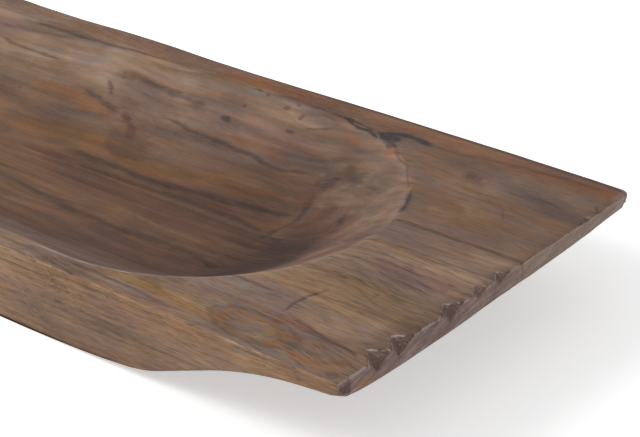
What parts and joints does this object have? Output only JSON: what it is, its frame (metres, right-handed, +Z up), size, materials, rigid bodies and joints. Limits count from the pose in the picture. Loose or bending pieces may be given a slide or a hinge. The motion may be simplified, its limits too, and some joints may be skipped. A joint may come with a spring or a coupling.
{
  "type": "dough bowl",
  "caption": "Long shallow wooden dough bowl: a trough with round ends hollowed from edge-glued boards, flat rim and end decks, swept-up ledges underneath and a flat belly to rest on.",
  "frame": {"origin": "under the middle of the bowl, on the surface that it rests on", "axes": "+X along the bowl's length, towards the end with the chipped edge; -Y towards the wide front board; +Z up, out of the hollow"},
  "size_m": [0.89, 0.3352, 0.076],
  "materials": {
    "front_wood": "worn waxed walnut brown, coarse straight grain",
    "stave_wood": "worn waxed walnut brown, fine plain grain",
    "back_wood": "worn waxed grey brown, swirling grain",
    "glue": "dark set glue, flush with the wood"
  },
  "bodies": {
    "root": {"front_board": "front_wood", "middle_stave": "stave_wood", "back_board": "back_wood", "glue_line_front": "glue", "glue_line_back": "glue"}
  },
  "joints": []
}
